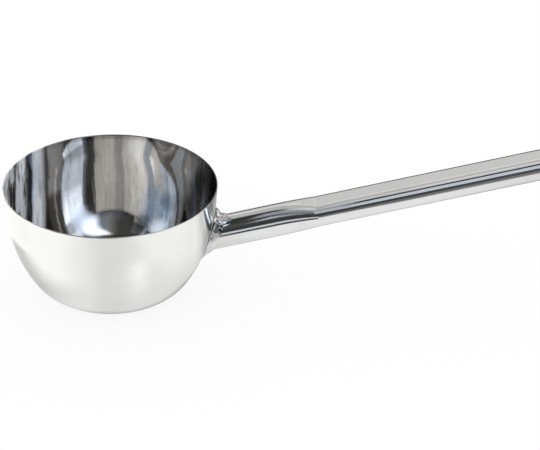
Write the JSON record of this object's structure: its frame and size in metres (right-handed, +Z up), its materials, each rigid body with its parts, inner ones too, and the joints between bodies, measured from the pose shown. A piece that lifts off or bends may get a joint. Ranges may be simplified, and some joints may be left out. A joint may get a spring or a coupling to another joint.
{
  "type": "water dipper ladle",
  "caption": "Polished steel water dipper: a deep round cup with a flat base, and a long upward-sloping tube handle pressed to a flat-topped oval grip and welded to its side.",
  "frame": {"origin": "middle of the cup's flat base, on its underside", "axes": "+Z up along the cup's axis, +X from the cup towards the tip of the handle"},
  "size_m": [0.4987, 0.165, 0.134],
  "materials": {
    "cup_steel": "polished",
    "tube_steel": "polished",
    "weld_steel": "satin"
  },
  "bodies": {
    "root": {"cup": "cup_steel", "handle_tube": "tube_steel", "root_weld": "weld_steel"}
  },
  "joints": []
}
